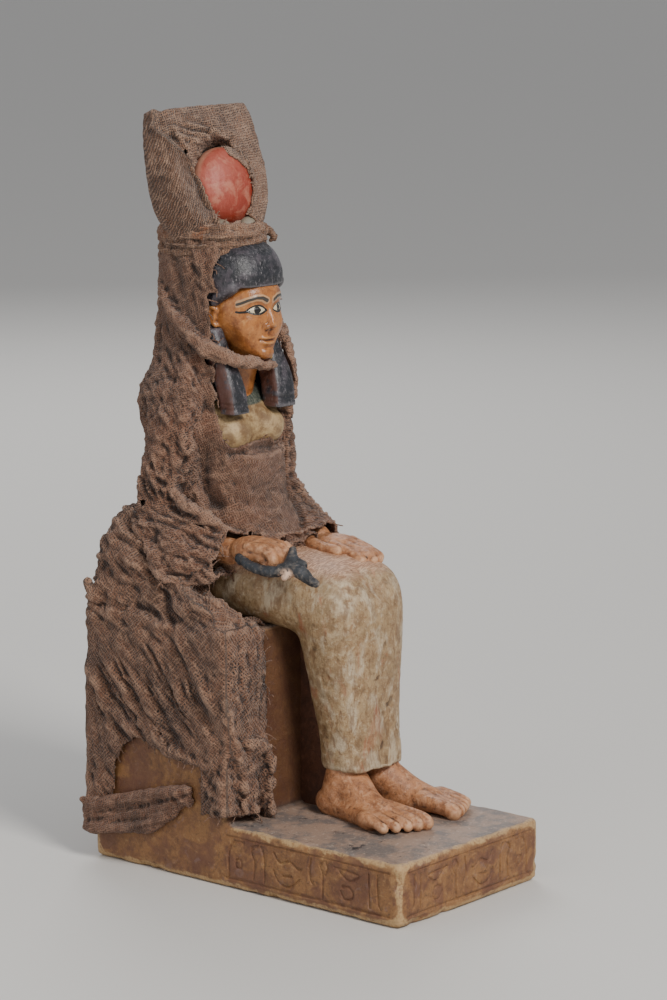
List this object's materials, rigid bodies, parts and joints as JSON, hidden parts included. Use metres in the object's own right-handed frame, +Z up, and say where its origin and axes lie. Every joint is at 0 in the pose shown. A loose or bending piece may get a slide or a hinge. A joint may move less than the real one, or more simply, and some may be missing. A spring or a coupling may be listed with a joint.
{
  "type": "stone statue of a seated goddess in linen wrappings",
  "caption": "Small carved stone goddess seated on a throne and plinth, with horns and a sun disk, an ankh in one hand and old linen wrapped round crown, shoulders, arms and throne.",
  "frame": {"origin": "middle of the plinth's underside, on the surface it stands on", "axes": "+Z up, the figure faces -Y, and her right side, with the ankh, is towards -X"},
  "size_m": [0.1018, 0.1711, 0.315],
  "materials": {
    "painted_stone": "worn paint over pale stone",
    "shawl_linen": "coarse dusty weave",
    "crown_linen": "coarse dusty weave",
    "brow_band": "coarse dusty weave",
    "throne_linen": "coarse dusty weave",
    "base_strip": "coarse dusty weave"
  },
  "bodies": {
    "root": {"statue": "painted_stone", "shawl_linen": "shawl_linen", "crown_linen": "crown_linen", "brow_band": "brow_band", "throne_linen": "throne_linen", "base_strip": "base_strip"}
  },
  "joints": []
}
